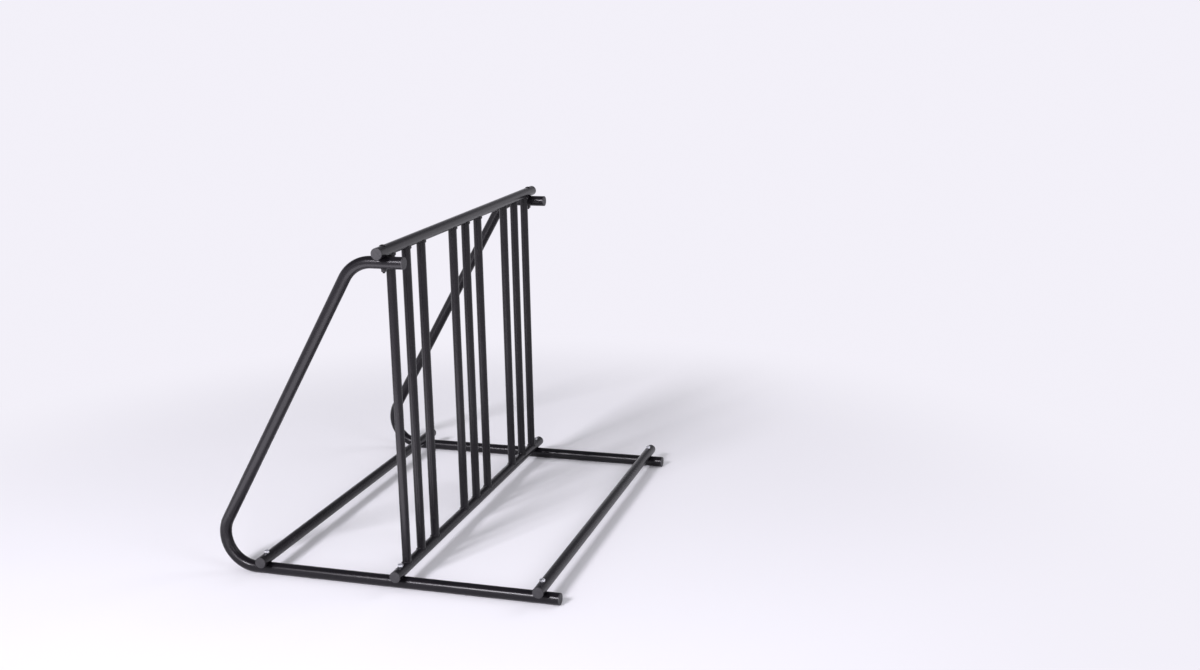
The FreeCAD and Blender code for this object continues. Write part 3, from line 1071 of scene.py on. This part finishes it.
base_joints = [(x, y) for x in joint_xs for y in SIDE_YS.values()]
for number, (x, y) in enumerate(base_joints, start=1):
    fasten("base", number, x, y, base_bolt, base_head_z, -1, zinc_plate)
for number, y in enumerate(SIDE_YS.values(), start=1):
    fasten("top", number, middle_x, y, top_bolt, top_head_z, 1, black_oxide)
for blank in (base_bolt, top_bolt, washer_blank, nut_blank):
    bpy.data.objects.remove(blank)
print(len(base_joints) + len(SIDE_YS), "joints fastened")

# %% [markdown]
# ## Floor
#
# A rack like this is photographed on pale paper that runs up into a pale backdrop, with no
# line where one becomes the other. Here one large plane does it. Round the rack it is real
# paper, which takes the rack's shadow. Further out it fades into an even glow of the
# world's own colour, as a backdrop with lamps of its own does.

# %% Floor
FLOOR_SIZE = 60.0
FLOOR_PALE = (0.900, 0.905, 0.925, 1)
BACKDROP_PALE = (0.895, 0.875, 0.945, 1)
PAPER_ROUGHNESS = 0.85
PAPER_REACH = 0.8             # real paper as far as this from the middle of the rack
GLOW_FROM = 1.8               # nothing but the glow beyond this

clear_selection()
bpy.ops.mesh.primitive_plane_add(size=FLOOR_SIZE, location=(0, 0, 0))
floor = bpy.context.object
floor.name = "floor"
floor_paper, tree, shader, position = new_material("floor_paper")
tone = use_group(tree, tone_group, Position=position, Color=FLOOR_PALE, Patch_Size=1.5, Spread=0.01)
wire(tree, tone["Color"], shader.inputs["Base Color"])
shader.inputs["Roughness"].default_value = PAPER_ROUGHNESS
shader.inputs["Specular IOR Level"].default_value = 0.0
glow = tree.nodes.new("ShaderNodeEmission")
glow.inputs["Color"].default_value = BACKDROP_PALE
distance = tree.nodes.new("ShaderNodeVectorMath")
distance.operation = "LENGTH"
wire(tree, position, distance.inputs[0])
fade = tree.nodes.new("ShaderNodeMixShader")
wire(tree, ramp(tree, distance.outputs["Value"], PAPER_REACH, GLOW_FROM), fade.inputs["Fac"])
wire(tree, shader.outputs[0], fade.inputs[1])
wire(tree, glow.outputs[0], fade.inputs[2])
wire(tree, fade.outputs[0], tree.nodes["Material Output"].inputs["Surface"])
floor.data.materials.append(floor_paper)

# %% [markdown]
# ## Lights
#
# The light is soft. A large box to the left of the camera draws the long highlights along the
# tubes. A panel that lies on the floor beside the rack shows in the sides of the upright
# tubes. Weaker boxes open up the dark sides, and the rest comes from all round. Together they
# light a white card to about white, so each colour comes out as written.

# %% Lights
LAMP_WHITE = (0.955, 0.915, 1.0)   # a little cool, as flash is


def soft_box(name, at, towards, size, power):
    """An area lamp that faces a point. Its size is in metres and its power in watts."""
    data = bpy.data.lights.new(name, "AREA")
    data.color = LAMP_WHITE
    data.shape = "RECTANGLE"
    data.size, data.size_y = size
    data.energy = power
    lamp = bpy.data.objects.new(name, data)
    bpy.context.scene.collection.objects.link(lamp)
    lamp.location = at
    lamp.rotation_euler = (Vector(towards) - Vector(at)).to_track_quat("-Z", "Y").to_euler()
    lamp.visible_camera = False


RACK_MIDDLE = (0, 0, 0.2)
soft_box("key_box", (-1.55, -5.2, 3.5), RACK_MIDDLE, (1.35, 1.05), 315)
soft_box("low_box", (0.6, -5.5, 1.7), RACK_MIDDLE, (2.1, 1.3), 70)
soft_box("right_box", (4.2, -2.2, 2.7), RACK_MIDDLE, (1.8, 1.8), 36)
soft_box("rim_box", (3.4, 2.6, 3.0), RACK_MIDDLE, (2.0, 2.0), 36)
soft_box("floor_panel", (-0.4, -1.2, 0.02), (-0.4, -1.2, 1.0), (1.5, 1.1), 14)

# %% [markdown]
# ## World
#
# The light that falls on things comes evenly from the whole sky. What the camera and shiny
# things see is pale up to a certain height and darker above it, like a lit backdrop under a
# dim ceiling. The Light Path node tells the two apart.

# %% World
WORLD_COLOUR = (0.97, 0.96, 1.0, 1)
WORLD_LIGHT = 0.42
CEILING = (0.18, 0.18, 0.20, 1)
BACKDROP_TOP = 0.12           # height of a direction: the sine of its angle
CEILING_FROM = 0.45

world = bpy.data.worlds.new("studio")
bpy.context.scene.world = world
world.use_nodes = True
tree = world.node_tree
lighting = tree.nodes["Background"]
lighting.inputs["Color"].default_value = WORLD_COLOUR
lighting.inputs["Strength"].default_value = WORLD_LIGHT
direction = tree.nodes.new("ShaderNodeSeparateXYZ")
wire(tree, tree.nodes.new("ShaderNodeTexCoord").outputs["Generated"], direction.inputs[0])
height = ramp(tree, direction.outputs["Z"], BACKDROP_TOP, CEILING_FROM)
seen = tree.nodes.new("ShaderNodeBackground")
wire(tree, mix_colour(tree, height, BACKDROP_PALE, CEILING), seen.inputs["Color"])
ray = tree.nodes.new("ShaderNodeLightPath")
looked_at = math_node(tree, "MAXIMUM", ray.outputs["Is Camera Ray"], ray.outputs["Is Glossy Ray"])
looked_at = math_node(tree, "MAXIMUM", looked_at, ray.outputs["Is Transmission Ray"])
choice = tree.nodes.new("ShaderNodeMixShader")
wire(tree, looked_at, choice.inputs["Fac"])
wire(tree, lighting.outputs[0], choice.inputs[1])
wire(tree, seen.outputs[0], choice.inputs[2])
wire(tree, choice.outputs[0], tree.nodes["World Output"].inputs["Surface"])

# %% [markdown]
# ## The end
#
# The Standard view shows colours as they are written. The dressed rack may not be bigger than
# the real one.

# %% View settings and the end
bpy.context.scene.view_settings.view_transform = "Standard"
clear_selection()
